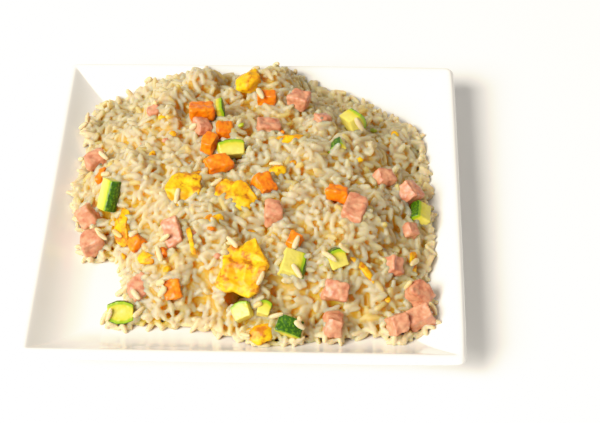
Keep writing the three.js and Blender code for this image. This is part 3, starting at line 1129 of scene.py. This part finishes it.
    def fill(self) -> None:
        """Let grains down where the heap is lowest, until it has its height everywhere."""
        cells = np.argwhere(self.inside & ~self.kept_clear)
        draw = self.random
        idle = 0
        while len(self.grains) < self.most_grains and idle < self.patience:
            picks = tuple(cells[draw.integers(len(cells), size=self.choices)].T)
            lacks = self.target[picks] - self.ground[picks]
            i, j = (row[int(np.argmax(lacks))] for row in picks)
            x = self.area.axis[i] + draw.uniform(-0.5, 0.5) * self.area.cell
            y = self.area.axis[j] + draw.uniform(-0.5, 0.5) * self.area.cell
            flow = float(self.flow[i, j])
            rest = self.lowest(x, y, self.fill_tries, lambda: flow + draw.normal(0, self.heading_spread))
            idle += 1
            if rest and lacks.max() > 0:
                z, turn, tilt = rest
                self.lay(x, y, turn, tilt, z - self.sunk)
                idle = 0

    def plug(self) -> None:
        """Press grains into the gaps that are left between the others."""
        level = self.area.blurred(self.ground, self.core_reach, 2)
        low = self.area.blurred(self.ground, self.gap_reach, 1) < level - self.gap_depth
        cells = np.argwhere(self.inside & ~self.kept_clear & low)
        draw = self.random
        draw.shuffle(cells)
        for i, j in cells[: self.most_plugs]:
            if self.ground[i, j] > level[i, j] - self.gap_depth:
                continue
            x, y = self.area.axis[i], self.area.axis[j]
            rest = self.lowest(x, y, self.plug_tries, lambda: draw.uniform(0, math.pi))
            if rest:
                z, turn, tilt = rest
                self.lay(x, y, turn, tilt, min(z, level[i, j] - self.plug_sink * self.grain_width))

    def stand(self) -> None:
        """Stick grains in upright here and there, so that their ends stand out of the heap."""
        cells = np.argwhere(self.inside & ~self.kept_clear & (self.calm < 0.5))
        draw = self.random
        for _, _, x, y in self.draws(cells, self.upright_grains):
            turn = draw.uniform(-math.pi, math.pi)
            tilt = math.radians(draw.uniform(*self.upright_tilts))
            z, _, clear, proud = self.let_down(x, y, turn, 0.0)
            if clear < self.most_tucked and proud < 2 * self.most_proud:
                self.lay(x, y, turn, tilt, z - self.grain_width * draw.uniform(*self.upright_sunk))

    def strew(self) -> list[Grain]:
        """Drop single grains on the toppings, mostly along their edges, and on the plate round the heap.

        Returns:
            The grains.
        """
        self.ground = np.maximum(self.ground, self.topping_top)
        edges = np.argwhere(self.rim(self.shown, *self.topping_rim) & self.inside)
        outside = np.argwhere(self.rim(self.inside, *self.outer_rim) & (self.topping_top < 0))
        highest = np.minimum(self.area.blurred(self.ground, self.core_reach, 2) + self.perch, CAD_BOX[1][2])
        first = len(self.grains)
        for cells, count in ((edges, self.loose_grains), (outside, self.stray_grains)):
            for i, j, x, y in self.draws(cells, count):
                turn = self.random.uniform(-math.pi, math.pi)
                z, tilt, _, _ = self.let_down(x, y, turn, 0.0)
                if z + self.grain_width < highest[i, j]:
                    self.lay(x, y, turn, tilt, z - self.sunk)
        return self.grains[first:]

    def joined(self, name: str, grains: Sequence[Grain]) -> Piece:
        """Join grains into one mesh.

        Args:
            name: The piece's name.
            grains: The grains.

        Returns:
            The piece.
        """
        model_corners, model_faces = self.models[0]
        corners = np.concatenate(
            [self.models[grain.shape][0] @ grain.matrix().T + np.array(grain.at) for grain in grains]
        )
        faces = [
            [start + corner for corner in face]
            for start in range(0, len(corners), len(model_corners)) for face in model_faces
        ]
        mesh = bpy.data.meshes.new(name)
        mesh.from_pydata(corners.tolist(), [], faces)
        mesh.validate()
        return added(name, mesh)

    def mark(self, piece: Piece, grains: Sequence[Grain]) -> None:
        """Keep on a piece each point's tone, from the grain it belongs to, and its depth in the heap.

        Args:
            piece: The piece.
            grains: The grains in it.
        """
        ends = (-0.3, 0.0, 0.3)
        tree = KDTree(len(grains) * len(ends))
        for number, grain in enumerate(grains):
            axis = grain.matrix()[:, 0] * self.grain_length
            for share in ends:
                tree.insert(np.array(grain.at) + axis * share, number)
        tree.balance()
        tones = [grains[tree.find(vertex.co)[1]].tone for vertex in piece.data.vertices]
        corners = np.empty(len(piece.data.vertices) * 3)
        piece.data.vertices.foreach_get("co", corners)
        corners = corners.reshape(-1, 3)
        steps = (corners[:, :2] + self.area.half) / self.area.cell
        cells = tuple(np.clip(steps, 0, self.area.count - 1).astype(int).T)
        level = self.area.blurred(self.ground, self.level_reach, 2)[cells]
        beside = self.area.blurred(self.ground, self.crevice_reach, 1)[cells]
        # Depth under the level round about and under the nearest grains; the material paints it as golden
        # shade in the gaps, partly oil, and less where the heap is low.
        sunk = (level - corners[:, 2]) / self.golden_depth + (beside - corners[:, 2]) / self.golden_crevice
        height = np.clip((level - self.plate_top[cells]) / self.golden_rise, self.least_rise, 1)
        depths = np.clip(sunk * height, 0, 1)
        for name, values in (("grain_tone", tones), ("grain_depth", depths), ("heap_height", height)):
            keep(piece, name, values)

    def fused(self, core: Piece, grains: Piece) -> Piece:
        """Let the grains stick to the core and to each other, as one skin.

        Args:
            core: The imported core.
            grains: The grains.

        Returns:
            The piece.
        """
        select_only(core)
        grains.select_set(True)
        bpy.ops.object.join()
        apply_modifier(core, "REMESH", mode="VOXEL", voxel_size=self.net)
        apply_modifier(core, "SMOOTH", factor=0.5, iterations=1)
        faces = 2 * len(core.data.polygons)
        log.info("crust of %d triangles", faces)
        apply_modifier(core, "DECIMATE", ratio=min(1.0, self.most_faces / faces))
        core.data.validate()
        core.name = "sticky_rice"
        return core

    def build(self, plate: Piece, toppings: Sequence[Piece]) -> None:
        """Build the rice.

        Args:
            plate: The finished plate.
            toppings: The finished toppings.
        """
        self.survey(plate, toppings)
        self.ground = np.where(self.inside, self.bed(), self.plate_top)
        for step in (self.hem, self.fill, self.plug, self.thatch, self.stand):
            step()
            log.info("%s: %d grains", step.__name__, len(self.grains))
        rice = self.fused(self.build_core(), self.joined("grains", self.grains))
        self.mark(rice, self.grains)
        dress(rice, CookedRice().material(), "rice", self.node)
        loose = self.strew()
        scattered = self.joined("loose_rice", loose)
        apply_modifier(scattered, "REMESH", mode="VOXEL", voxel_size=self.net * self.loose_fineness)
        apply_modifier(scattered, "SMOOTH", factor=0.5, iterations=2)
        self.mark(scattered, loose)
        dress(scattered, LOOSE_RICE.material(), "rice")


@dataclass
class Crumbs:
    """Small torn bits of one kind of topping, which lie on whatever is under them."""

    kind: Kind
    material: Material
    places: tuple[Triple, ...]
    length: float = 1.15
    breadth: float = 0.85
    flatness: float = 0.6
    turn: float = 1.3
    raggedness: float = 0.9 * MM
    depth: float = 1.5 * MM

    def build(self, heap: RiceHeap) -> None:
        """Make the bits as one piece.

        Args:
            heap: The finished heap, whose ground carries them.
        """
        bits = []
        for number, (x, y, width) in enumerate(self.places):
            cell = heap.area.cell_at(x * MM, y * MM)
            half = width * MM / 2
            bpy.ops.mesh.primitive_ico_sphere_add(subdivisions=3, radius=half)
            bit = bpy.context.object
            with edited(bit):
                bpy.ops.transform.resize(value=(self.length, self.breadth, self.flatness))
                bpy.ops.transform.rotate(value=number * self.turn, orient_axis="Z", center_override=(0, 0, 0))
                place = (x * MM, y * MM, float(heap.ground[cell]) - 0.5 * half)
                bpy.ops.transform.translate(value=place)
            bits.append(bit)
        for bit in bits:
            bit.select_set(True)
        bpy.ops.object.join()
        piece = bpy.context.object
        piece.name = f"{self.kind.value}_crumbs"
        apply_modifier(
            piece, "DISPLACE", texture=clouds("crumb_lumps", 1.1 * MM), texture_coords="LOCAL",
            strength=self.raggedness, mid_level=0.5,
        )
        if self.kind is Kind.COURGETTE:
            keep(piece, "rind_depth", [self.depth] * len(piece.data.vertices))
        dress(piece, self.material, self.kind.value)


FINISHES = {
    Kind.HAM: COOKED_HAM, Kind.CARROT: COOKED_CARROT, Kind.COURGETTE: CookedCourgette(), Kind.EGG: FriedEgg(),
}

TOPPING_SIZES = {
    Kind.HAM: {"softening": 9, "lump": 5.5 * MM, "lump_height": 2.6 * MM},
    Kind.CARROT: {"softening": 8, "lump": 5.0 * MM, "lump_height": 2.2 * MM},
    Kind.COURGETTE: {"net": 0.42 * MM, "softening": 6, "lump_height": 0.5 * MM},
    Kind.EGG: {"net": 0.42 * MM, "softening": 7, "lump": 5.0 * MM, "lump_height": 1.3 * MM, "grit": 1.5 * MM},
}

CRUMBS = {
    Kind.HAM: (
        (-60.7, 55.0, 3.6), (-54.7, 28.2, 3.4), (-42.6, 25.1, 3.0), (-24.5, -39.3, 3.6), (-12.5, -49.4, 4.0),
    ),
    Kind.CARROT: ((-16.3, -37.9, 3.0), (14.0, 30.0, 2.4)),
    Kind.COURGETTE: ((57.9, 52.1, 3.4), (34.8, -54.4, 3.4), (-6.2, 31.3, 3.0)),
    Kind.EGG: (
        (1.3, -33.1, 4.0), (68.8, 47.7, 4.4), (-45.4, 40.5, 3.6), (-38.9, 28.9, 3.4), (-48.2, 17.1, 3.6),
        (3.1, -79.4, 4.4), (64.8, -62.6, 3.4), (51.0, 15.5, 4.0), (-58.8, -34.1, 3.8), (-35.6, -54.7, 3.8),
        (-30.0, 10.0, 3.0), (-18.0, -20.0, 3.2), (20.0, 8.0, 3.0),
    ),
}


def build_toppings(materials: dict[Kind, Material]) -> list[Piece]:
    """Dress every topping of the frame.

    Args:
        materials: The finish of each kind.

    Returns:
        The pieces.
    """
    pieces = []
    for kind in Kind:
        cut = CourgetteCut if kind is Kind.COURGETTE else Topping
        nodes = sorted(name for name in frame["nodes"] if name.startswith(kind.value + "_"))
        pieces += [cut(node, materials[kind], kind.value, **TOPPING_SIZES[kind]).build() for node in nodes]
    return pieces


@dataclass
class Camera:
    """The camera: it looks down at the plate from the diner's side."""

    target: Triple = (22.95 * MM, 2.4 * MM, 10 * MM)
    distance: float = 863.8 * MM
    azimuth: float = math.radians(2.29)
    elevation: float = math.radians(44.93)
    roll: float = math.radians(-0.81)
    focal_share: float = 1789.97 / 600
    sensor: float = 36.0

    def build(self) -> None:
        """Place the camera and make it the scene's."""
        flat = math.cos(self.elevation)
        over = math.sin(self.elevation)
        back = Vector((math.sin(self.azimuth) * flat, -math.cos(self.azimuth) * flat, over))
        right = (-back).cross(Vector((0, 0, 1))).normalized()
        up = right.cross(-back)
        turned_right = right * math.cos(self.roll) + up * math.sin(self.roll)
        turned_up = up * math.cos(self.roll) - right * math.sin(self.roll)
        data = bpy.data.cameras.new("Camera")
        data.sensor_width = self.sensor
        data.sensor_fit = "HORIZONTAL"
        data.lens = self.focal_share * self.sensor
        data.clip_start = 0.01
        camera = added("Camera", data)
        place = Matrix((turned_right, turned_up, back)).transposed().to_4x4()
        place.translation = Vector(self.target) + back * self.distance
        camera.matrix_world = place
        bpy.context.scene.camera = camera


@dataclass
class Studio:
    """A pale floor, a key light from the left and soft light from all round."""

    floor_size: float = 6.0
    key_from: Triple = (-0.6, -0.5, 0.66)
    key_away: float = 2.4
    key_size: float = 1.6
    key_power: float = 116.0
    key_colour: Triple = (1.0, 0.92, 0.78)
    sky_colour: Colour = (1.0, 0.94, 0.85, 1.0)
    sky: float = 0.36
    white: float = 1.36
    shoulder: tuple[Pair, ...] = ((0.2, 0.35), (0.41, 0.62), (0.57, 0.79), (0.73, 0.95))

    def build(self) -> None:
        """Build the floor and the lights."""
        bpy.ops.mesh.primitive_plane_add(size=self.floor_size)
        floor = bpy.context.object
        floor.name = "studio_floor"
        floor.data.materials.append(PlainFinish("StudioFloor", paint(250, 250, 250), 0.9).material())
        toward = Vector(self.key_from).normalized()
        data = bpy.data.lights.new("key_light", "AREA")
        data.shape = "DISK"
        data.size = self.key_size
        data.energy = self.key_power
        data.color = self.key_colour
        key = added("key_light", data)
        facing = toward.to_track_quat("Z", "Y").to_matrix().to_4x4()
        key.matrix_world = Matrix.Translation(toward * self.key_away) @ facing
        world = bpy.data.worlds.new("studio_sky")
        world.use_nodes = True
        world.node_tree.nodes["Background"].inputs["Color"].default_value = self.sky_colour
        world.node_tree.nodes["Background"].inputs["Strength"].default_value = self.sky
        bpy.context.scene.world = world
        self.expose()

    def expose(self) -> None:
        """Hold back the brightest tones softly, as a camera does."""
        view = bpy.context.scene.view_settings
        view.view_transform = "Standard"
        view.use_curve_mapping = True
        view.curve_mapping.white_level = (self.white,) * 3
        points = view.curve_mapping.curves[3].points
        for place, level in self.shoulder:
            points.new(place, level)
        view.curve_mapping.update()


def main() -> None:
    """Build the studio, the plate, the toppings and the rice."""
    Camera().build()
    Studio().build()
    plate = Plate().build()
    materials = {kind: finish.material() for kind, finish in FINISHES.items()}
    toppings = build_toppings(materials)
    heap = RiceHeap()
    heap.build(plate, toppings)
    for kind, places in CRUMBS.items():
        Crumbs(kind, materials[kind], places).build(heap)


if __name__ == "__main__":
    main()
